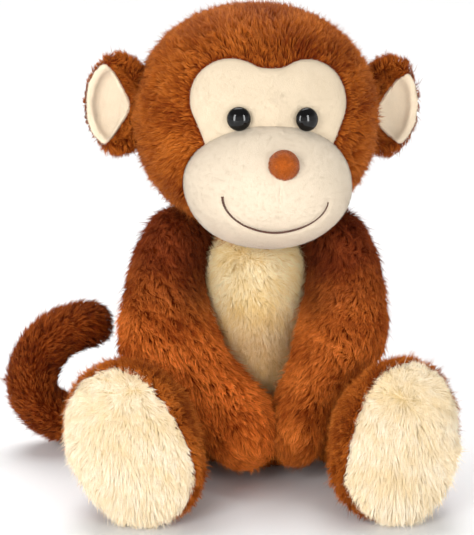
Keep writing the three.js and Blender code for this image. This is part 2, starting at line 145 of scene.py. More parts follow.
def pile_material(name, sheen, sheen_tint, roughness=0.6):
    """Strands: their colour, which runs from root to tip; the darker roots are partly painted shade."""
    material, tree, shader = new_material(
        name, Roughness=roughness, Sheen_Weight=sheen, Sheen_Roughness=0.4,
        Sheen_Tint=(*sheen_tint, 1), Specular_IOR_Level=0.06,
    )
    colour = add_node(tree, "VertexColor")
    colour.layer_name = "pile"
    tree.links.new(colour.outputs["Color"], shader.inputs["Base Color"])
    return material


def backing_material(name, colours):
    """The knitted cloth between the roots of the pile."""
    return mottled(name, colours, 160, 0.5, 1400, Roughness=0.95, Specular_IOR_Level=0.1)


def short_pile_material(name, colour):
    return mottled(
        name, (colour * 0.98, colour * 1.02), 30, 0.35, 1700, (1, 1, 0.35), Roughness=0.9, Sheen_Weight=0.35,
        Sheen_Roughness=0.5, Sheen_Tint=(1, 0.95, 0.88, 1), Specular_IOR_Level=0.2,
    )


def plain_material(name, darker, lighter, scale, bump, roughness):
    colours = (rgb(darker), rgb(lighter))
    return mottled(name, colours, scale, bump, Roughness=roughness, Specular_IOR_Level=0.25)


BROWN_PILE = pile_material("brown_pile", 0.08, (1.0, 0.5, 0.2))
CREAM_PILE = pile_material("cream_pile", 0.2, (1.0, 0.93, 0.78))
FACE_PILE = pile_material("face_pile", 0.3, (1.0, 0.96, 0.9), 0.8)
STRANDS_OF = {
    "brown_plush": BROWN_PILE, "cream_plush": CREAM_PILE, "short_pile": FACE_PILE, "nose_plush": FACE_PILE,
}
BROWN_BACKING = backing_material("brown_backing", (BROWN["root"], BROWN["dark"] * 0.8))
CREAM_BACKING = backing_material("cream_backing", (CREAM["root"] * 0.8, CREAM["root"]))
SHORT_PILE = short_pile_material("short_pile", FACE_CREAM)
MUZZLE_PILE = short_pile_material("muzzle_pile", MUZZLE_CREAM)
EAR_PILE = short_pile_material("ear_pile", EAR_CREAM)
FELT = mottled(
    "nose_plush", (NOSE_BROWN * 0.8, NOSE_BROWN * 1.15), 420, 0.8, 1500,
    Roughness=0.95, Sheen_Weight=0.25, Specular_IOR_Level=0.15,
)
EYE_PLASTIC = mottled(
    "eye_plastic", (rgb("#070606"), rgb("#0c0a0a")), 200,
    Roughness=0.06, Coat_Weight=0.1, Coat_Roughness=0.02, Specular_IOR_Level=0.25,
)
THREAD = mottled(
    "thread", (THREAD_BROWN * 0.75, THREAD_BROWN * 1.2), 900, 0.6, 4000,
    Roughness=0.7, Sheen_Weight=0.3, Specular_IOR_Level=0.3,
)
STUFFING = plain_material("stuffing", "#e9e9e4", "#fbfbf8", 120, 0.8, 1.0)
BAG_CLOTH = plain_material("pellet_bag", "#d8d3c4", "#e6e2d6", 900, 0.4, 0.9)
LABEL_CLOTH = plain_material("label", "#f0f0ee", "#fbfbfa", 1500, 0.3, 0.5)
WASHER_PLASTIC = plain_material("washer", "#d8d8d2", "#e6e6e0", 60, 0.1, 0.5)

# ---- Skins ----


def unit(vectors):
    return vectors / np.maximum(np.linalg.norm(vectors, axis=-1, keepdims=True), 1e-12)


def rise(values, start, width):
    """From 0 where the values are at start, to 1 where they are a width above it."""
    return np.clip((values - start) / width, 0, 1)


def fall(values, start, width):
    """From 0 where the values are at start, to 1 where they are a width below it."""
    return np.clip((start - values) / width, 0, 1)


class Surface:
    """An object's vertices, smooth normals and triangles as arrays."""

    def __init__(self, obj):
        self.obj = obj
        mesh = obj.data
        mesh.calc_loop_triangles()
        self.co = read(mesh.vertices, "co", 3)
        self.normal = read(mesh.vertex_normals, "vector", 3)
        self.triangles = read(mesh.loop_triangles, "vertices", 3, np.int32)
        self.tree = BVHTree.FromPolygons(self.co.tolist(), self.triangles.tolist())


def read(items, name, size, kind=np.float32):
    values = np.zeros(len(items) * size, kind)
    items.foreach_get(name, values)
    return values.reshape(-1, size).astype(np.float64 if kind is np.float32 else kind)


def new_object(name, mesh):
    obj = bpy.data.objects.new(name, mesh)
    bpy.context.scene.collection.objects.link(obj)
    return obj


def largest_island(mesh):
    """Takes away every island but the largest one."""
    bm = bmesh.new()
    bm.from_mesh(mesh)
    unseen = set(bm.verts)
    best = set()
    while unseen:
        start = unseen.pop()
        island = {start}
        front = [start]
        while front:
            vert = front.pop()
            for edge in vert.link_edges:
                other = edge.other_vert(vert)
                if other not in island:
                    island.add(other)
                    front.append(other)
        unseen -= island
        if len(island) > len(best):
            best = island
    bmesh.ops.delete(bm, geom=[vert for vert in bm.verts if vert not in best], context="VERTS")
    bm.to_mesh(mesh)
    bm.free()


def skin(name, nodes, voxel, inset, smooth=8, shape=None):
    """A smooth closed skin round CAD nodes, set in from their outer surface."""
    bm = bmesh.new()
    for node in nodes:
        bm.from_mesh(frame["nodes"][node].data)
    source = bpy.data.meshes.new(name)
    bm.to_mesh(source)
    bm.free()
    obj = new_object(name, source)
    remesh = obj.modifiers.new("remesh", "REMESH")
    remesh.mode = "VOXEL"
    remesh.voxel_size = voxel
    relax = obj.modifiers.new("smooth", "SMOOTH")
    relax.factor = 0.6
    relax.iterations = smooth
    graph = bpy.context.evaluated_depsgraph_get()
    mesh = bpy.data.meshes.new_from_object(obj.evaluated_get(graph))
    obj.modifiers.clear()
    obj.data = mesh
    largest_island(mesh)
    co = read(mesh.vertices, "co", 3)
    normal = read(mesh.vertex_normals, "vector", 3)
    co = co - normal * inset
    if shape:
        co = shape(co, normal)
    co[:, 2] = np.maximum(co[:, 2], FLOOR_GAP)
    mesh.vertices.foreach_set("co", co.ravel())
    mesh.update()
    mesh.polygons.foreach_set("use_smooth", np.ones(len(mesh.polygons), bool))
    return obj


# ---- Pile ----


def waves(points, scale, seed, count=7):
    """A smooth random vector at each point, whose features are about as wide as scale."""
    rng = np.random.default_rng(seed)
    total = np.zeros_like(points)
    for _ in range(count):
        way = unit(rng.normal(size=3)) * (2 * math.pi / (scale * rng.uniform(0.7, 1.5)))
        phase = rng.uniform(0, 2 * math.pi)
        total += unit(rng.normal(size=3)) * np.sin(points @ way + phase)[:, None]
    return total / math.sqrt(count)


def scatter(surface, count, rng, density=None):
    """Roots spread over a surface: their places and normals."""
    corners = surface.co[surface.triangles]
    area = np.linalg.norm(np.cross(corners[:, 1] - corners[:, 0], corners[:, 2] - corners[:, 0]), axis=1)
    if density is not None:
        area = area * density(corners.mean(axis=1), unit(surface.normal[surface.triangles].mean(axis=1)))
    total = np.cumsum(area)
    face = np.minimum(np.searchsorted(total, rng.random(count) * total[-1]), len(area) - 1)
    first = np.sqrt(rng.random(count))
    second = rng.random(count)
    share = np.stack([1 - first, first * (1 - second), first * second], axis=1)[:, :, None]
    place = (corners[face] * share).sum(axis=1)
    normal = unit((surface.normal[surface.triangles[face]] * share).sum(axis=1))
    return place, normal


def clumped(root, middle, tip, rng, size, pull):
    """Draws strands together at their tips, towards the nearest of a few chosen strands."""
    leaders = rng.choice(len(root), max(1, len(root) // size), replace=False)
    tree = KDTree(len(leaders))
    for index, leader in enumerate(leaders):
        tree.insert(root[leader], index)
    tree.balance()
    nearest = leaders[np.array([tree.find(place)[1] for place in root.tolist()])]
    reach = np.linalg.norm(root[nearest] - root, axis=1, keepdims=True)
    share = pull * rng.uniform(0.5, 1.0, (len(root), 1)) * np.clip(1.6 - reach / (3.2 * MM), 0, 1)
    new_tip = tip + (tip[nearest] - tip) * share
    new_middle = middle + (middle[nearest] - middle) * share * 0.45
    return new_middle, new_tip, nearest


RING = [math.radians(angle) for angle in (90, 210, 330)]
STRAND_LOOPS = np.array([0, 1, 4, 3, 1, 2, 5, 4, 2, 0, 3, 5, 3, 4, 6, 4, 5, 6, 5, 3, 6, 2, 1, 0])
STRAND_STARTS = np.array([0, 4, 8, 12, 15, 18, 21])
STRAND_UV = np.array([[0.1, 0.1], [0.5, 0.1], [0.9, 0.1], [0.1, 0.55], [0.5, 0.55], [0.9, 0.55], [0.5, 0.95]])


def strand_mesh(name, root, middle, tip, normal, width, colours, softness):
    """One mesh of strands, each a closed three-sided blade from a root ring over a middle ring to a point.

    Softness is how far a strand is shaded as the surface that it covers, as fine translucent fibre is.
    """
    count = len(root)
    low = unit(middle - root)
    high = unit(tip - middle)
    side = unit(np.cross(low, normal) + 1e-6)
    verts = np.zeros((count, 7, 3))
    shading = np.zeros((count, 7, 3))
    for index, angle in enumerate(RING):
        for start, centre, along, scale in ((0, root, low, 1.0), (3, middle, unit(low + high), 0.85)):
            across = unit(side - along * (side * along).sum(axis=1, keepdims=True))
            up = np.cross(along, across)
            ring = math.cos(angle) * across + math.sin(angle) * up
            verts[:, start + index] = centre + ring * (width * scale)[:, None]
            shading[:, start + index] = unit(softness * normal + (1 - softness) * ring)
    verts[:, 6] = tip
    shading[:, 6] = unit(softness * normal + (1 - softness) * high)
    verts[:, :, 2] = np.maximum(verts[:, :, 2], FLOOR_GAP)
    mesh = bpy.data.meshes.new(name)
    mesh.vertices.add(count * 7)
    mesh.vertices.foreach_set("co", verts.ravel())
    mesh.loops.add(count * len(STRAND_LOOPS))
    loops = np.arange(count)[:, None] * 7 + STRAND_LOOPS
    mesh.loops.foreach_set("vertex_index", loops.ravel())
    mesh.polygons.add(count * len(STRAND_STARTS))
    starts = np.arange(count)[:, None] * len(STRAND_LOOPS) + STRAND_STARTS
    mesh.polygons.foreach_set("loop_start", starts.ravel())
    mesh.update(calc_edges=True)
    mesh.polygons.foreach_set("use_smooth", np.ones(len(mesh.polygons), bool))
    cells = math.ceil(math.sqrt(count))
    corner = np.stack([np.arange(count) % cells, np.arange(count) // cells], axis=1)
    uv = (corner[:, None, :] + STRAND_UV[STRAND_LOOPS][None]) / cells
    mesh.uv_layers.new(name="OFBake").data.foreach_set("uv", uv.ravel())
    mesh.attributes.new("custom_normal", "FLOAT_VECTOR", "POINT").data.foreach_set("vector", shading.ravel())
    layer = mesh.color_attributes.new("pile", "FLOAT_COLOR", "POINT")
    rgba = np.ones((count, 7, 4))
    for index, level in enumerate((0, 0, 0, 1, 1, 1, 2)):
        rgba[:, index, :3] = colours[level]
    layer.data.foreach_set("color", rgba.ravel())
    return mesh


def grow_pile(name, body, surface, count, flow, tones, slot,
              length=9 * MM, width=0.2 * MM, lean=(30, 62), softness=0.3, guards=0.05,
              clump=12, pull=0.75, ruffle=0.5, stray=0.24,
              keep=None, density=None, trim=None, shade=None, painted_light=None):
    """Grows a pile from a skin, as one piece or more, and returns the pieces.

    flow gives the way that the pile lies, and lean is its angle from upright, at the root and the tip. About
    clump strands meet in a tuft, as closely as pull says. ruffle and stray turn tufts and strands aside.
    keep, density, trim and shade say where strands grow, how many, how long and in what tone, and the last
    one gives a factor on the colour that paints light and shade on them.
    """
    rng = np.random.default_rng([SEED, sum(map(ord, name))])
    root, normal = scatter(surface, int(count * STRAND_SHARE), rng, density)
    if keep is not None:
        kept = keep(root, normal)
        root, normal = root[kept], normal[kept]
    count = len(root)
    swirl = ruffle * waves(root, 7 * MM, SEED + 1) + 0.6 * ruffle * waves(root, 22 * MM, SEED + 2)
    way = flow(root, normal) + swirl + stray * rng.normal(size=root.shape)
    way = unit(way - normal * (way * normal).sum(axis=1, keepdims=True))
    long = length * rng.uniform(0.75, 1.15, count)
    if trim is not None:
        long = long * trim(root, normal)
    # A few guard hairs stand up out of the pile.
    guard = rng.random(count) < guards
    long = np.where(guard, long * 1.2, long)
    loose = rng.normal(0, 7, count) - np.where(guard, 14, 0)
    angles = [np.radians(np.clip(angle + loose, 2, 85))[:, None] for angle in lean]
    heading = [normal * np.cos(angle) + way * np.sin(angle) for angle in angles]
    middle = root + heading[0] * (long * 0.5)[:, None]
    tip = middle + heading[1] * (long * 0.5)[:, None]
    middle, tip, leader = clumped(root, middle, tip, rng, clump, pull * ~guard[:, None])
    root = root - normal * 0.5 * MM

    # The tone changes with patches of the pile, with each tuft, with thin locks and with each strand.
    patch = 0.5 + 0.7 * waves(root, 27 * MM, SEED + 3)[:, 0]
    tuft = rng.random(count)[leader]
    lock = 0.5 + 0.85 * waves(root, 1.6 * MM, SEED + 5, 16)[:, 0]
    tone = np.clip(0.3 * patch + 0.56 * tuft + 0.2 * lock + 0.26 * rng.random(count) - 0.16, 0, 1)
    if shade is not None:
        tone = np.clip(tone + shade(root, normal), 0, 1)
    tone = tone[:, None]
    strand_colour = tones["dark"] * (1 - tone) + tones["light"] * tone
    tip_colour = strand_colour * (1.02 + 0.2 * tone)
    if tones["tip"] is not None:
        frost = 0.55 * tone ** 2 * rng.random((count, 1))
        tip_colour = tip_colour * (1 - frost) + tones["tip"] * frost
    # Each strand is darker towards its root: partly the fibre's own colour, partly painted shade for the
    # shade deep in the pile.
    colours = [tones["root"] * (0.75 + 0.4 * tone), strand_colour * 0.68 + tones["root"] * 0.32, tip_colour]
    # Painted light and shade, as a factor on each colour.
    if painted_light is not None:
        colours = [colour * painted_light(root) for colour in colours]
    pieces = []
    parts = max(1, math.ceil(count / PIECE_STRANDS))
    order = np.argsort(root[:, 2] + 0.37 * root[:, 0], kind="stable")
    for part, chosen in enumerate(np.array_split(order, parts)):
        piece_name = name if parts == 1 else f"{name}_{part + 1}"
        mesh = strand_mesh(
            piece_name, root[chosen], middle[chosen], tip[chosen], normal[chosen],
            np.full(len(chosen), width), [level[chosen] for level in colours], softness,
        )
        mesh.materials.append(STRANDS_OF[slot])
        piece = new_object(piece_name, mesh)
        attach(piece, body)
        pieces.append(piece)
    return pieces


def paint(obj, material):
    obj.data.materials.clear()
    obj.data.materials.append(material)


def finish_skin(obj, body, material, nodes):
    """The skin stands for some of the nodes that it goes round."""
    paint(obj, material)
    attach(obj, body)
    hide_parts(*nodes)


def brown_skin(name, body, panels, inside, voxel=3 * MM, inset=1.6 * MM, fill=0.8, **shaping):
    """Makes a furry part's skin, which stands for the panels that it goes round, and returns its surface."""
    obj = skin(name, [*panels, *inside], voxel, inset, **shaping)
    finish_skin(obj, body, BROWN_BACKING, panels)
    return Surface(obj)


def vertices_of(node):
    return read(frame["nodes"][node].data.vertices, "co", 3)


def middle_of(*nodes):
    """The mean vertex of CAD nodes."""
    return np.concatenate([vertices_of(node) for node in nodes]).mean(axis=0)


# ---- Head ----

HEAD_CENTRE = np.array([0, 0, 226]) * MM
HEAD_RADII = np.array([76, 70, 70]) * MM
MUZZLE_CENTRE = np.array([0, -57, -35]) * MM
MUZZLE_RADII = np.array([53, 45, 40]) * MM

# The head's own axes come from its eyes, which sit level on it.
eye_line = unit(middle_of("eye_left") - middle_of("eye_right"))
head_turn = math.atan2(eye_line[1], eye_line[0])
head_tilt = -math.asin(eye_line[2])
HEAD_AXES = np.array(Matrix.Rotation(head_tilt, 3, "Y") @ Matrix.Rotation(head_turn, 3, "Z"))


def on_head(points):
    """Places on the head, from its centre and along its own axes."""
    return (points - HEAD_CENTRE) @ HEAD_AXES


def off_head(points):
    return np.asarray(points) @ HEAD_AXES.T + HEAD_CENTRE


FACE = {"lobe_x": 24 * MM, "lobe_z": 17.4 * MM, "radius": 27 * MM, "chin": -10 * MM}


def face_radius(angle):
    """How far the face patch reaches from between its lobes, at an angle from straight up."""
    radius = FACE["radius"]
    steps = np.linspace(0, 70 * MM, 281)
    x = np.abs(np.sin(angle))[:, None] * steps
    z = FACE["lobe_z"] + np.cos(angle)[:, None] * steps
    in_lobe = np.hypot(x - FACE["lobe_x"], z - FACE["lobe_z"]) < radius
    taper = fall(z, FACE["lobe_z"] - 4 * MM, 26 * MM) ** 1.3 * 9 * MM
    side = FACE["lobe_x"] + radius * 0.94 - taper
    in_cheek = (x < side) & (z < FACE["lobe_z"]) & (z > FACE["chin"] - 6 * MM)
    brow = FACE["lobe_z"] + radius * (0.82 + 0.14 * (x / FACE["lobe_x"]) ** 2)
    in_brow = (x < FACE["lobe_x"]) & (z >= FACE["lobe_z"]) & (z < brow)
    inside = in_lobe | in_cheek | in_brow
    return np.array([steps[row.nonzero()[0].max()] if row.any() else 0 for row in inside])


FACE_ANGLES = np.linspace(0, 2 * math.pi, 145)
FACE_EDGE = face_radius(FACE_ANGLES)
for _ in range(3):
    ring = FACE_EDGE[:-1]
    FACE_EDGE = (np.roll(ring, 1) + 2 * ring + np.roll(ring, -1)) / 4
    FACE_EDGE = np.append(FACE_EDGE, FACE_EDGE[0])


def outside_face(local):
    """How far places on the head are outside the face patch, seen from the front."""
    x, z = local[:, 0], local[:, 2] - FACE["lobe_z"]
    angle = np.mod(np.arctan2(x, z), 2 * math.pi)
    return np.hypot(x, z) - np.interp(angle, FACE_ANGLES, FACE_EDGE)


def under_muzzle(local):
    return (((local - MUZZLE_CENTRE) / (MUZZLE_RADII - 0.5 * MM)) ** 2).sum(axis=1) < 1


HEAD_PANELS = ["head_right_panel", "head_left_panel", "head_back_panel"]
head_surface = brown_skin("head", "head", HEAD_PANELS, ["face_patch", "head_stuffing"], smooth=10)


def head_keep(root, normal):
    local = on_head(root)
    front = local[:, 1] < 0
    bare = front & (outside_face(local) < -1.2 * MM)
    return ~(bare | under_muzzle(local))


def head_flow(root, normal):
    """The pile grows away from the face, over the crown and down the back."""
    local = on_head(root)
    away = unit(local - [0, -85 * MM, 12 * MM])
    down = rise(local[:, 1:2], 0, 60 * MM) * [0, 0, -1.2]
    droop = fall(local[:, 2:], 0, 60 * MM) * [0, 0, -0.5]
    return (away + down + droop) @ HEAD_AXES.T


def head_trim(root, normal):
    local = on_head(root)
    edge = np.where(local[:, 1] < 0, outside_face(local), 1.0)
    return np.clip(0.5 + edge / (14 * MM) * 0.5, 0.5, 1)


grow_pile(
    "head_pile", "head", head_surface, 138000, head_flow, BROWN, "brown_plush",
    length=9.6 * MM, lean=(28, 61), clump=7, pull=0.85, ruffle=0.75, stray=0.16,
    keep=head_keep, trim=head_trim,
)

# ---- Pads and the face patch ----


def grid_faces(rows, columns, closed=True):
    """Quads between rows of points."""
    faces = []
    for row in range(rows - 1):
        for column in range(columns if closed else columns - 1):
            after = (column + 1) % columns
            faces.append((row * columns + column, row * columns + after,
                          (row + 1) * columns + after, (row + 1) * columns + column))
    return faces


def mesh_object(name, verts, faces, material, body):
    mesh = bpy.data.meshes.new(name)
    mesh.from_pydata([tuple(vert) for vert in verts], [], faces)
    bm = bmesh.new()
    bm.from_mesh(mesh)
    bmesh.ops.recalc_face_normals(bm, faces=bm.faces)
    bm.to_mesh(mesh)
    bm.free()
    mesh.polygons.foreach_set("use_smooth", np.ones(len(mesh.polygons), bool))
    mesh.materials.append(material)
    obj = new_object(name, mesh)
    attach(obj, body)
    return obj


def pad_faces(rows, columns):
    """Faces of a closed pad: rings of its front, rings of its back, then a pole for each."""
    count = rows * columns
    last = count - columns
    faces = grid_faces(rows, columns)
    faces += [tuple(count + index for index in face) for face in grid_faces(rows, columns)]
    for column in range(columns):
        after = (column + 1) % columns
        faces.append((column, after, 2 * count))
        faces.append((count + column, count + after, 2 * count + 1))
        faces.append((last + column, last + after, count + last + after, count + last + column))
    return faces


def make_pad(name, material, node, spread, angles, edges, middle, lay, lift):
    """A thin closed pad that stands for a node: the face patch or an ear's lining.

    edges is how far it reaches at each angle from straight up. lay finds the place at a height off the skin
    under it, and lift is the height of its front. spread is the number of rings, how they crowd to the edge,
    and the heights of the front's middle and of the underside.
    """
    rows, power, top, under = spread
    front, back = [], []
    for row in range(rows):
        part = ((row + 1) / rows) ** power
        for angle, edge in zip(angles, edges):
            reach = edge * part
            x = middle[0] + math.sin(angle) * reach
            z = middle[1] + math.cos(angle) * reach
            front.append(lay(x, z, lift(x, z, edge - reach)))
            back.append(lay(x, z, under))
    poles = [lay(*middle, top), lay(*middle, under)]
    faces = pad_faces(rows, len(angles))
    pad = mesh_object(name, front + back + poles, faces, material, "head")
    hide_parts(node)
    return pad


FORWARD = HEAD_AXES @ np.array([0, -1, 0])


def on_skin(x, z, height):
    """Where a line from in front of the head meets its skin, at a height off it."""
    start = off_head([x, -200 * MM, z])
    place, normal, _, _ = head_surface.tree.ray_cast(Vector(start), Vector(-FORWARD))
    return np.array(place) + np.array(normal) * height


EYE_AT = [on_head(middle_of(f"eye_{name}")) for name, _ in SIDES]


def face_lift(x, z, inner):
    """The face patch is rolled under at its edge and sinks round the eyes."""
    lift = -1.2 * MM + 2.2 * MM * (1 - math.exp(-inner / (1.6 * MM)))
    for at in EYE_AT:
        lift -= 1.3 * MM * math.exp(-((x - at[0]) ** 2 + (z - at[2]) ** 2) / (8.5 * MM) ** 2)
    return lift


face = make_pad(
    "face", SHORT_PILE, "face_patch", (34, 0.85, 1.8 * MM, -2.4 * MM),
    FACE_ANGLES[:-1], FACE_EDGE[:-1], (0, FACE["lobe_z"]), on_skin, face_lift,
)

# ---- Muzzle, nose and smile ----

SMILE = {"half_width": 34 * MM, "z": -36 * MM, "depth": 23 * MM, "bend": 1.8, "slant": 1.6 * MM}


def muzzle_point(x, z):
    """A place on the front of the muzzle, from the head's centre, and the way that it faces."""
    side = (x - MUZZLE_CENTRE[0]) / MUZZLE_RADII[0]
    height = (z - MUZZLE_CENTRE[2]) / MUZZLE_RADII[2]
    y = MUZZLE_CENTRE[1] - MUZZLE_RADII[1] * math.sqrt(max(0, 1 - side ** 2 - height ** 2))
    place = np.array([x, y, z])
    return place, unit((place - MUZZLE_CENTRE) / MUZZLE_RADII ** 2)


def smile_path(count):
    """Places along the smile, spread evenly over its length, with the way each one faces."""
    places, ways = [], []
    for part in np.linspace(-1, 1, 400):
        drop = math.sqrt(1 - 0.999 * abs(part) ** SMILE["bend"])
        slant = SMILE["slant"] * (part + 1)
        x = (part - 0.03 * (part + 1)) * SMILE["half_width"]
        place, way = muzzle_point(x, SMILE["z"] - slant - (SMILE["depth"] - slant) * drop)
        places.append(place)
        ways.append(way)
    places, ways = np.array(places), np.array(ways)
    run = np.concatenate([[0], np.cumsum(np.linalg.norm(np.diff(places, axis=0), axis=1))])
    even = np.linspace(0, run[-1], count)

    def pick(values):
        return np.stack([np.interp(even, run, values[:, axis]) for axis in range(3)], axis=1)

    return pick(places), unit(pick(ways)), run[-1]


def make_muzzle():
    rows, columns = 110, 200
    verts = []
    for row in range(1, rows):
        polar = math.pi * row / rows
        for column in range(columns):
            angle = 2 * math.pi * column / columns
            across = math.sin(polar)
            verts.append([across * math.cos(angle), -math.cos(polar), across * math.sin(angle)])
    way = np.array([[0, -1, 0], [0, 1, 0]] + verts)
    local = MUZZLE_CENTRE + MUZZLE_RADII * way
    facing = unit(way / MUZZLE_RADII)
    # The seam down the middle, under the nose, and the crease that the smile's thread pulls in.
    seam = np.exp(-(local[:, 0] / (0.9 * MM)) ** 2) * (way[:, 1] < 0.1)
    seam *= fall(local[:, 2], -20 * MM, 10 * MM) * rise(local[:, 2], -46 * MM, 14 * MM)
    gap = np.min([np.linalg.norm(local - place, axis=1) for place in smile_path(90)[0]], axis=0)
    sink = 0.45 * MM * seam + 1.1 * MM * np.exp(-(gap / (2.2 * MM)) ** 2)
    lumps = waves(local, 36 * MM, SEED + 5)[:, 0] * 0.5 * MM
    local = local - facing * (sink - lumps)[:, None]
    faces = [tuple(2 + index for index in quad) for quad in grid_faces(rows - 1, columns)]
    last = 2 + (rows - 2) * columns
    for column in range(columns):
        after = (column + 1) % columns
        faces.append((0, 2 + after, 2 + column))
        faces.append((1, last + column, last + after))
    obj = mesh_object("muzzle", off_head(local), faces, MUZZLE_PILE, "head")
    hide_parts("muzzle_cover")
    return obj


muzzle = make_muzzle()


def make_smile():
    """Two plies of thread, twisted round each other along the smile."""
    radius, twist = 0.42 * MM, 3.4 * MM
    places, ways, length = smile_path(220)
    along = unit(np.gradient(places, axis=0))
    across = unit(np.cross(along, ways))
    turn = np.linspace(0, length / twist * 2 * math.pi, len(places))
    run = np.linspace(0, length, len(places))
    thinner = rise(run, 0.7 * length, 0.3 * length)
    thicker = 0.85 + 0.25 * np.exp(-run / (12 * MM)) - 0.4 * thinner
    for ply in (0, 1):
        angle = turn + ply * math.pi
        offset = across * np.cos(angle)[:, None] + ways * np.sin(angle)[:, None]
        line = places - ways * 0.35 * MM + offset * (radius * thicker)[:, None]
        curve = bpy.data.curves.new(f"smile_ply_{ply + 1}", "CURVE")
        curve.dimensions = "3D"
        curve.bevel_depth = radius * 1.05
        curve.bevel_resolution = 2
        curve.use_fill_caps = True
        spline = curve.splines.new("POLY")
        spline.points.add(len(line) - 1)
        spline.points.foreach_set("co", np.hstack([off_head(line), np.ones((len(line), 1))]).ravel())
        spline.points.foreach_set("radius", thicker)
        curve.materials.append(THREAD)
        obj = new_object(curve.name, curve)
        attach(obj, "head")
        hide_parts("mouth_stitching")


make_smile()


def dome(name, profile, at, outward, material, sides=56):
    """A turned piece from a profile of radius and distance, set on a place along the outward way."""
    turn = np.array(Vector((0, 0, 1)).rotation_difference(Vector(outward)).to_matrix())
    verts = []
    for radius, height in profile:
        for side in range(sides):
            angle = 2 * math.pi * side / sides
            verts.append([radius * math.cos(angle), radius * math.sin(angle), height])
    verts += [[0, 0, profile[0][1]], [0, 0, profile[-1][1]]]
    verts = np.array(verts) @ turn.T + at
    faces = grid_faces(len(profile), sides)
    last = (len(profile) - 1) * sides
    for side in range(sides):
        after = (side + 1) % sides
        faces.append((after, side, len(profile) * sides))
        faces.append((last + side, last + after, len(profile) * sides + 1))
    return mesh_object(name, verts, faces, material, "head")


EYE_RADIUS = 7.5 * MM


def eye_profile():
    """Radius and distance, from the shank's end, over the rim, to the top of the dome."""
    radius, rim = EYE_RADIUS, EYE_RADIUS * 0.985
    profile = [(0.3 * MM, -11 * MM), (2.2 * MM, -11 * MM), (2.2 * MM, -0.6 * MM), (radius * 0.8, -0.9 * MM),
               (radius * 0.97, -0.3 * MM), (radius, 0.5 * MM), (rim, 1.1 * MM)]
    low = math.radians(14)
    for step in range(1, 16):
        angle = low + math.radians(76) * step / 16
        height = 1.1 * MM + 5.5 * MM * (math.sin(angle) - math.sin(low))
        profile.append((rim * math.cos(angle) / math.cos(low), height))
    return profile + [(0.02 * MM, profile[-1][1] + 0.01 * MM)]


def make_eyes():
    """Glossy domes over a narrow rim. Each has the shank that holds it."""
    for name, _ in SIDES:
        co = vertices_of(f"eye_{name}")
        middle = co.mean(axis=0)
        axis = unit(np.linalg.svd(co - middle, full_matrices=False)[2][0])
        axis = axis if axis @ FORWARD > 0 else -axis
        front = ((co - middle) @ axis).max()
        base = middle + axis * (front - EYE_RADIUS * 0.85)
        obj = dome(f"eye_{name}_dome", eye_profile(), base, axis, EYE_PLASTIC)
        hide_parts(f"eye_{name}")


make_eyes()


NOSE = {"x": 2.5 * MM, "z": -16.5 * MM, "radius": 9.1 * MM, "height": 9.6 * MM}


def make_nose():
    radius, height = NOSE["radius"], NOSE["height"]
    at, way = muzzle_point(NOSE["x"], NOSE["z"])
    profile = [(radius * 0.7, -2.5 * MM), (radius * 0.93, -0.6 * MM)]
    for step in range(15):
        angle = math.pi / 2 * step / 15
        profile.append((radius * math.cos(angle) ** 0.9, height * math.sin(angle) ** 1.1))
    profile.append((0.02 * MM, height))
    obj = dome("nose_pad", profile, off_head(at), HEAD_AXES @ way, FELT)
    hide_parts("nose")
    return obj


nose = make_nose()

# ---- Naps: short fibres that stand off the face, muzzle, nose and ear linings ----


def down_and_out(root, normal):
    local = on_head(root)
    return (unit(local * [1, 0, 0.4]) + [0, 0, -0.8]) @ HEAD_AXES.T


def grow_nap(name, obj, count, colour, keep, lean=(55, 74)):
    """Short, close fibres on one of the head's pads."""
    grow_pile(
        name, "head", Surface(obj), count, down_and_out, nap_tones(colour), "short_pile",
        length=1.4 * MM, width=0.1 * MM, lean=lean, softness=0.9, guards=0,
        pull=0.2, ruffle=0.08, stray=0.06, keep=keep,
    )


def front_of_face(root, normal):
    return (normal @ FORWARD > 0.15) & ~under_muzzle(on_head(root))


def front_of_muzzle(root, normal):
    return ((on_head(root) / HEAD_RADII) ** 2).sum(axis=1) >= 0.97


grow_nap("face_nap", face, 15000, FACE_CREAM, front_of_face)
grow_nap("muzzle_nap", muzzle, 26000, MUZZLE_CREAM, front_of_muzzle)
NOSE_TONES = nap_tones(NOSE_BROWN, 0.5, 0.65, 1.3)
grow_pile(
    "nose_nap", "head", Surface(nose), 4500, down_and_out, NOSE_TONES, "nose_plush",
    length=1.1 * MM, width=0.1 * MM, lean=(20, 60), pull=0.3, ruffle=1.5,
)

# ---- Ears ----

EAR_TURN = math.radians(14)
EAR_MIDDLE = np.array([90, 6, 7]) * MM  # outward, back and up from the head's centre
# The lining of each ear: its middle, its outer reach, and the inner point where its two inner edges meet.
# "rim_hair" is how much longer the pile is at the outer rim, and "rim_back" is how far it lies back there.
EAR_LEAF = {
    "right": {
        "middle": (5 * MM, -1 * MM), "radii": (20 * MM, 28 * MM), "fullness": 2.5,
        "point": (-8 * MM, -2 * MM), "slope_up": 0.6, "slope_down": 0.7,
        "rim_hair": -0.4, "rim_back": 22 * MM,
    },
    "left": {
        "middle": (9 * MM, -5 * MM), "radii": (22 * MM, 28 * MM), "fullness": 2,
        "point": (-7 * MM, -8 * MM), "slope_up": 0.71, "slope_down": 1.1,
        "rim_hair": 0.15, "rim_back": 5 * MM,
    },
}


def in_leaf(x, z, leaf):
    """Whether places, outward and up from an ear's middle, are on its lining, a leaf with a blunt point."""
    power = leaf["fullness"]
    radial = np.abs(x / leaf["radii"][0]) ** power + np.abs(z / leaf["radii"][1]) ** power
    point_x, point_z = leaf["point"]
    slope = np.where(z > point_z, leaf["slope_up"], leaf["slope_down"])
    fold = point_x + slope * (np.hypot(z - point_z, 5 * MM) - 5 * MM)
    return (radial < 1) & (x > fold)


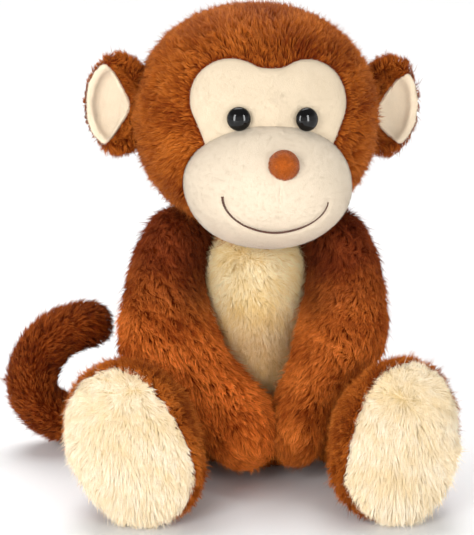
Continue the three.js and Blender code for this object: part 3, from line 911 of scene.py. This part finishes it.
def leaf_edge(angles, leaf):
    """How far the lining reaches from its middle, at each angle from straight up."""
    steps = np.linspace(0, 40 * MM, 401)
    x = leaf["middle"][0] + np.sin(angles)[:, None] * steps
    z = leaf["middle"][1] + np.cos(angles)[:, None] * steps
    edge = np.array([steps[row.nonzero()[0].max()] for row in in_leaf(x, z, leaf)])
    for _ in range(2):
        edge = (np.roll(edge, 1) + 2 * edge + np.roll(edge, -1)) / 4
    return edge


def make_ear(name, sign):
    back, lining = f"ear_{name}_back", f"ear_{name}_lining"
    leaf = EAR_LEAF[name]
    surface = brown_skin(f"ear_{name}", "head", [back], [lining], 1.8 * MM, 0.9 * MM, 0.5, smooth=5)
    axes = HEAD_AXES @ np.array(Matrix.Rotation(sign * EAR_TURN, 3, "Z"))
    mirror = np.array([sign, 1, 1])
    hub = off_head(EAR_MIDDLE * mirror)

    def local(points):
        """Outward from the head, backwards and up, from the ear's middle."""
        return (points - hub) @ axes * mirror

    def on_front(x, z, height):
        """A place at a height off the front of the ear."""
        start = hub + axes @ (np.array([x, -60 * MM, z]) * mirror)
        place, normal, _, _ = surface.tree.ray_cast(Vector(start), Vector(axes[:, 1]))
        if place is None:
            start = hub + axes @ (np.array([x, -2 * MM, z]) * mirror)
            place, normal, _, _ = surface.tree.find_nearest(Vector(start))
        return np.array(place) + unit(np.array(normal) - 1.5 * axes[:, 1]) * height

    def lining_lift(x, z, inner):
        """The lining is rolled under at its edge, with a turned hem inside that."""
        hem = math.exp(-((inner - 1.6 * MM) / (1.0 * MM)) ** 2)
        return -0.7 * MM + 1.3 * MM * (1 - math.exp(-inner / (0.7 * MM))) + 0.7 * MM * hem

    angles = np.linspace(0, 2 * math.pi, 96, endpoint=False)
    pad = make_pad(
        f"ear_{name}_inside", EAR_PILE, lining, (22, 0.8, 0.6 * MM, -1.2 * MM),
        angles, leaf_edge(angles, leaf), leaf["middle"], on_front, lining_lift,
    )

    def on_lining(root, normal):
        place = local(root)
        return in_leaf(place[:, 0], place[:, 2], leaf) & ((normal @ axes)[:, 1] < 0.1)

    def ear_flow(root, normal):
        place = local(root)
        outer = rise(place[:, 0], 0, 15 * MM)
        behind = 4 * MM + leaf["rim_back"] * outer
        out = unit(np.stack([place[:, 0] * (1 - 0.8 * outer), behind, place[:, 2]], axis=1))
        inside = np.hypot(place[:, 0] / (19 * MM), place[:, 2] / (28 * MM)) < 1
        inside &= (normal @ axes)[:, 1] < 0
        over = unit(place * [0, 0, 1 / (30 * MM)] + [-0.6, -0.4, 0])
        out = np.where(inside[:, None], over, out)
        return out * mirror @ axes.T + [0, 0, -0.2]

    def rim_trim(root, normal):
        return 1 + leaf["rim_hair"] * rise(local(root)[:, 0], 8 * MM, 10 * MM)

    grow_pile(
        f"ear_{name}_pile", "head", surface, 17000, ear_flow, BROWN, "brown_plush",
        length=7.5 * MM, lean=(25, 55), ruffle=0.7,
        keep=lambda root, normal: ~on_lining(root, normal), trim=rim_trim,
    )
    def faces_front(root, normal):
        return (normal @ axes)[:, 1] < 0

    grow_nap(f"ear_{name}_nap", pad, 9000, EAR_CREAM, faces_front, lean=(50, 70))


for side_name, side_sign in SIDES:
    make_ear(side_name, side_sign)

# ---- Torso ----

TORSO_PANELS = ["body_right_panel", "body_left_panel", "seat_panel"]
BELLY_HALF_WIDTH = 38 * MM
BELLY_MIDDLE = 80 * MM


def round_shoulders(co, normal):
    """The torso's top slopes down to the back."""
    high = rise(co[:, 2], 112 * MM, 45 * MM)
    co[:, 2] -= 0.22 * np.maximum(co[:, 1] - 2 * MM, 0) * high
    co[:, 1] -= 0.12 * np.maximum(co[:, 1] - 2 * MM, 0) * high
    return co


torso_surface = brown_skin(
    "body", "torso", TORSO_PANELS, ["belly_panel", "body_stuffing", "pellet_bag"],
    inset=1.8 * MM, shape=round_shoulders,
)


def on_belly(root, normal):
    width = np.abs(root[:, 0]) / BELLY_HALF_WIDTH
    height = np.maximum(root[:, 2] - BELLY_MIDDLE, 0) / (71 * MM)
    depth = np.clip((66 * MM - root[:, 2]) / (36 * MM), 0, 2)
    arch = width ** 3 + height ** 3 + depth ** 2.5 < 1
    return arch & (root[:, 1] < 0) & (normal[:, 1] < -0.1)


def torso_flow(root, normal):
    return normal * [0.5, 0.4, 0] + [0, 0, -1]


def torso_trim(root, normal):
    """The pile is longer round the neck, which it hides."""
    return 1 + 0.5 * rise(root[:, 2], 138 * MM, 12 * MM)


def belly_flow(root, normal):
    whorl = np.array([-14, -40, 138]) * MM
    away = unit(root - whorl)
    near = np.exp(-np.linalg.norm(root - whorl, axis=1) / (22 * MM))[:, None]
    lean_in = root * [-6, 0, 0] + [0, 0, -1]
    return away * near * 1.6 + lean_in * (1 - near)


def belly_painted_shade(root):
    """Painted shade: the pile is darker and browner at the belly's lower end, between the hands, where they
    shade it and bounce brown light onto it.
    """
    return 1 - fall(root[:, 2:], 113 * MM, 27 * MM) * [0.26, 0.38, 0.46]


grow_pile(
    "body_pile", "torso", torso_surface, 40000, torso_flow, BROWN, "brown_plush",
    keep=lambda root, normal: ~on_belly(root, normal) & (root[:, 2] > 1.5 * MM), trim=torso_trim,
)
belly_pile = grow_pile(
    "belly_pile", "torso", torso_surface, 150000, belly_flow, BELLY_CREAM, "cream_plush",
    length=9.5 * MM, width=0.17 * MM, lean=(40, 70), softness=0.7,
    clump=7, pull=0.48, ruffle=0.85, stray=0.2, keep=on_belly, painted_light=belly_painted_shade,
)
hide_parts("belly_panel")


def paint_cream(surface, chosen):
    """The backing cloth is cream where the pile is."""
    mesh = surface.obj.data
    mesh.materials.append(CREAM_BACKING)
    faces = mesh.polygons
    cream = chosen(read(faces, "center", 3), read(faces, "normal", 3))
    faces.foreach_set("material_index", cream.astype(np.int32))


paint_cream(torso_surface, on_belly)

# ---- Arms ----

# Painted light: how much lighter the pile is painted on each hand, for the key lamp's light on the right
# hand.
HAND_PAINTED_LIGHT = {"right": 0.34, "left": 0.0}  # how much lighter the pile is on each hand


def make_arm(name, sign):
    def plump(co, normal):
        """A fuller hand, and an elbow that bulges outwards."""
        hand = fall(co[:, 2], 72 * MM, 25 * MM) * (2.0 - 3.6 * sign * normal[:, 0])
        elbow = 4.5 * np.exp(-((co[:, 2] - 84 * MM) / (20 * MM)) ** 2) * np.clip(sign * normal[:, 0], 0, 1)
        return co + normal * ((hand + elbow) * MM)[:, None]

    def flow(root, normal):
        """Down the arm to the hand, and across the front towards the middle."""
        drop = fall(root[:, 2], 150 * MM, 110 * MM)
        return np.stack([-sign * (0.2 + 0.5 * drop), -0.5 - 0.2 * drop, -np.ones(len(root))], axis=1)

    def painted_light(root):
        """Painted shade and light: the pile is painted darkest on the shoulder, where the head shades it,
        darker high on the inner side, in the shade between arm and belly, and lighter on the right hand,
        where the key lamp falls.
        """
        z = root[:, 2:]
        edge = 100 * MM - 9 * MM * waves(root, 26 * MM, SEED + 8)[:, :1]
        # Painted shade on the shoulder, under the head.
        high = rise(z, edge, 38 * MM)
        # Painted shade high on the inner side, between arm and belly.
        inner = fall(sign * root[:, :1], 56 * MM, 14 * MM) * rise(z, 95 * MM, 20 * MM)
        # Painted light on the right hand.
        hand = HAND_PAINTED_LIGHT[name] * fall(z, 112 * MM, 50 * MM)
        return (1 - high * [0.6, 0.72, 0.64]) * (1 - 0.45 * inner) * (1 + hand)

    arm = f"arm_{name}"
    panels = [f"{arm}_outer_panel", f"{arm}_inner_panel"]
    surface = brown_skin(arm, arm, panels, [f"{arm}_stuffing"], shape=plump)
    grow_pile(
        f"{arm}_pile", arm, surface, 54000, flow, DEEP_BROWN, "brown_plush",
        length=9.5 * MM, lean=(40, 70), clump=6, pull=0.72, ruffle=0.7, stray=0.16, painted_light=painted_light,
    )


for side_name, side_sign in SIDES:
    make_arm(side_name, side_sign)

# ---- Legs ----

# How far the sole's seam runs back towards the foot's inner side and top, and how far the heel bulges.
SOLE_SEAM = {"right": {"inner": 0.19, "top": 0.05}, "left": {"inner": 0.18, "top": -0.06}}
HEEL_BULGE = {"right": 5 * MM, "left": 9 * MM}
RIM_TONE = {"right": 0.3, "left": -0.1}  # how much lighter the pile is along the sole's seam
SOLE_LEAN = {"right": 5 * MM, "left": 0.0}  # how far the sole's top leans out


def corners(node):
    return [np.array(corner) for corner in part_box(node)]


def lean_foot(name, sign, co):
    """Leans the foot, so that its sole's top is further out than its bottom."""
    low, high = corners(f"foot_{name}_sole")
    near_sole = fall(co[:, 1], low[1] + 45 * MM, 35 * MM)
    height = np.clip((co[:, 2] - (low[2] + high[2]) / 2) / (30 * MM), -1, 1)
    return co + np.outer(sign * SOLE_LEAN[name] * height * near_sole, [1, 0, 0])


def make_leg(name, sign):
    leg, sole = f"leg_{name}", f"foot_{name}_sole"
    panels = [f"{leg}_upper_panel", f"{leg}_lower_panel"]
    low, high = corners(sole)
    ankle = middle_of(*panels)
    foot = (low + high) / 2
    ahead = unit((foot - ankle) * np.array([1, 1, 0]))
    edge = (vertices_of(sole) @ ahead).min()
    whorl = np.array([foot[0] + sign * 5 * MM, low[1], low[2] + 0.78 * (high[2] - low[2])])

    def past_seam(root):
        """How far places are in front of the sole's seam."""
        seam = SOLE_SEAM[name]
        inner = seam["inner"] * np.maximum(sign * (foot[0] - root[:, 0]), 0)
        top = seam["top"] * np.maximum(root[:, 2] - foot[2], 0)
        return root @ ahead - (edge + 1.2 * MM + inner + top)

    def full_heel(co, normal):
        """The foot is fuller low down on its inner side, behind the sole."""
        co = lean_foot(name, sign, co)
        behind = np.exp(-((past_seam(co) + 12 * MM) / (14 * MM)) ** 2)
        low_down = np.exp(-((co[:, 2] - 24 * MM) / (20 * MM)) ** 2)
        inner = np.clip(-sign * normal[:, 0], 0, 1)
        return co + normal * (HEEL_BULGE[name] * behind * low_down * inner)[:, None]

    surface = brown_skin(leg, leg, panels, [sole, f"{leg}_stuffing"], shape=full_heel)

    def on_sole(root, normal):
        return past_seam(root) > 0

    def sole_trim(root, normal):
        return np.clip(0.45 + past_seam(root) / (12 * MM) * 0.55, 0.45, 1)

    def rim_shade(root, normal):
        """The pile's tone differs along the sole's seam."""
        return RIM_TONE[name] * rise(past_seam(root), -14 * MM, 14 * MM)

    def rim_density(place, normal):
        """The pile is denser there."""
        return 1 + 1.2 * rise(past_seam(place), -14 * MM, 14 * MM)

    def leg_flow(root, normal):
        near_foot = rise(root @ ahead, edge - 45 * MM, 45 * MM)[:, None]
        out = root - foot
        out = unit(out - ahead * (out @ ahead)[:, None])
        rim = rise(past_seam(root), -10 * MM, 10 * MM)[:, None]
        return (1 - near_foot) * [0, 0, -0.6] + ahead * (0.9 - 0.5 * rim) + out * 0.7 * near_foot

    def sole_flow(root, normal):
        away = root - whorl
        away = away - ahead * (away @ ahead)[:, None]
        gap = np.linalg.norm(away, axis=1, keepdims=True)
        return away / (gap + 20 * MM) * 1.2 + rise(gap, 0, 25 * MM) * [0, 0, -0.7]

    def sole_shade(root, normal):
        """The pile parts at the whorl, and its yellower roots show there."""
        gap = np.linalg.norm(root - whorl, axis=1)
        return 0.12 - 0.22 * np.exp(-(gap / (20 * MM)) ** 2)

    grow_pile(
        f"{leg}_pile", leg, surface, 46000, leg_flow, BROWN, "brown_plush",
        lean=(30, 56), clump=7, pull=0.8, stray=0.16,
        keep=lambda root, normal: ~on_sole(root, normal), density=rim_density, shade=rim_shade,
    )
    pile = grow_pile(
        f"foot_{name}_pile", leg, surface, 105000, sole_flow, CREAM, "cream_plush",
        length=12 * MM, width=0.17 * MM, lean=(42, 75), softness=0.9,
        clump=8, pull=0.34, ruffle=0.7, stray=0.22, keep=on_sole, trim=sole_trim, shade=sole_shade,
    )
    paint_cream(surface, on_sole)
    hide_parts(sole)


for side_name, side_sign in SIDES:
    make_leg(side_name, side_sign)

# ---- Tail ----

tail_surface = brown_skin("tail_skin", "tail", ["tail_rear_panel", "tail_front_panel"], ["tail_stuffing"])
CURL = np.array([-118, 14, 50]) * MM  # the middle of the tail's curl


def tail_flow(root, normal):
    """Along the tail to its tip: outwards on the lower run, then round the curl."""
    round_curl = unit(np.cross([0, 1, 0], root - CURL))
    raised = rise(root[:, 2:], 35 * MM, 10 * MM)
    share = np.clip((-100 * MM - root[:, :1]) / (25 * MM) + raised, 0, 1)
    return round_curl * share + (1 - share) * [-1, -0.3, 0]


grow_pile(
    "tail_pile", "tail", tail_surface, 34000, tail_flow, TAIL_BROWN, "brown_plush",
    length=8.5 * MM, lean=(30, 58), pull=0.8, clump=6, stray=0.16,
)

# ---- The neck, the fillings, and what the frame shows as it is ----

BODY_OF = {node: body for body, nodes in frame["record"]["behaviour"]["bodies"].items() for node in nodes}
SHOWN_AS_IT_IS = {
    "eye_right_washer": WASHER_PLASTIC, "eye_left_washer": WASHER_PLASTIC,
    "pellet_bag": BAG_CLOTH, "care_label": LABEL_CLOTH,
}


def lumpy(co, normal):
    """Packed fibre, with soft lumps."""
    return co + normal * waves(co, 24 * MM, SEED + 7)[:, :1] * 0.4 * MM


def lumpy_torso(co, normal):
    return lumpy(round_shoulders(co, normal), normal)


def lumpy_right_leg(co, normal):
    return lumpy(lean_foot("right", -1, co), normal)


FILLING_SHAPE = {"body_stuffing": lumpy_torso, "leg_right_stuffing": lumpy_right_leg}


def make_neck():
    body = BODY_OF["neck_plug"]
    cover = brown_skin("neck_cover", body, ["neck_plug"], [], inset=-0.5 * MM)
    grow_pile(
        "neck_pile", body, cover, 12000, lambda root, normal: normal + [0, 0, 0.1], BROWN, "brown_plush",
        length=15 * MM, lean=(8, 24), stray=0.5,
    )


def make_filling(node):
    name = node.replace("stuffing", "filling")
    filling = skin(name, [node], 4 * MM, 1.6 * MM, smooth=3, shape=FILLING_SHAPE.get(node, lumpy))
    finish_skin(filling, BODY_OF[node], STUFFING, [node])


make_neck()
for filled_node in [node for node in frame["nodes"] if node.endswith("stuffing")]:
    make_filling(filled_node)
for shown_node, shown_material in SHOWN_AS_IT_IS.items():
    paint(frame["nodes"][shown_node], shown_material)

# ---- Floor, lights and camera ----


def make_floor():
    mesh = bpy.data.meshes.new("floor")
    half = 12.0
    places = [(-half, -half, 0), (half, -half, 0), (half, half, 0), (-half, half, 0)]
    mesh.from_pydata(places, [], [(0, 1, 2, 3)])
    white = (rgb("#fbfbfb"), rgb("#ffffff"))
    mesh.materials.append(mottled("floor", white, 2, Roughness=0.55, Specular_IOR_Level=0.2))
    new_object("floor", mesh)


def aim(obj, target):
    obj.rotation_euler = (Vector(target) - obj.location).to_track_quat("-Z", "Y").to_euler()


def area_light(name, place, target, size, power, in_eyes=False):
    """A soft light, or, with in_eyes, a bright window that only shiny things show."""
    light = bpy.data.lights.new(name, "AREA")
    light.shape = "RECTANGLE"
    light.size, light.size_y = size
    light.energy = power
    obj = new_object(name, light)
    obj.visible_diffuse = not in_eyes
    obj.visible_glossy = in_eyes
    obj.location = place
    aim(obj, target)


def sun_light(name, rise, turn, softness, power):
    """Even light from the sky. Rise and turn are its height and its bearing from the back, in degrees."""
    light = bpy.data.lights.new(name, "SUN")
    light.energy = power
    light.angle = math.radians(softness)
    obj = new_object(name, light)
    height, bearing = math.radians(rise), math.radians(turn)
    level = math.cos(height)
    obj.location = (level * math.sin(bearing), level * math.cos(bearing), math.sin(height))
    aim(obj, (0, 0, 0))


def make_world():
    """The walls of the studio are white and bright, and its ceiling is dimmer."""
    world = bpy.data.worlds.new("studio")
    world.use_nodes = True
    sky = world.node_tree
    where = add_node(sky, "TexCoord")
    height = add_node(sky, "SeparateXYZ")
    sky.links.new(where.outputs["Generated"], height.inputs["Vector"])
    ramp = add_node(sky, "ValToRGB")
    set_ramp(ramp, (0.22, 0.5), ((1, 1, 1), (0.3, 0.3, 0.3)))
    sky.links.new(height.outputs["Z"], ramp.inputs["Fac"])
    sky.links.new(ramp.outputs["Color"], sky.nodes["Background"].inputs["Color"])
    return world


AIM = (-0.012, -0.02, 0.13)
VIEW_DISTANCE = 1.304
VIEW_ELEVATION = math.radians(12)
SENSOR_HEIGHT = 36
LENS = 134.58  # millimetres, on that sensor


def make_camera():
    camera = bpy.data.cameras.new("camera")
    camera.sensor_fit = "VERTICAL"
    camera.sensor_height = SENSOR_HEIGHT
    camera.lens = LENS
    camera.clip_end = 50
    obj = new_object("camera", camera)
    back = Vector((0, -math.cos(VIEW_ELEVATION), math.sin(VIEW_ELEVATION)))
    obj.location = Vector(AIM) + VIEW_DISTANCE * back
    aim(obj, AIM)
    return obj


make_floor()
area_light("key", (-0.8, -1.6, 0.6), AIM, (0.7, 0.9), 19)
area_light("fill", (0.9, -1.6, 0.5), AIM, (0.6, 0.9), 9)
# Two tall windows, which only shiny things show, as the eyes do.
area_light("left_window", (-1.15, -1.5, 0.55), AIM, (0.42, 1.6), 34, in_eyes=True)
area_light("right_window", (1.05, -1.6, 0.55), AIM, (0.42, 1.6), 34, in_eyes=True)
sun_light("ceiling", 62, -10, 46, 2.25)
scene = bpy.context.scene
scene.world = make_world()
scene.view_settings.view_transform = "Standard"
scene.camera = make_camera()
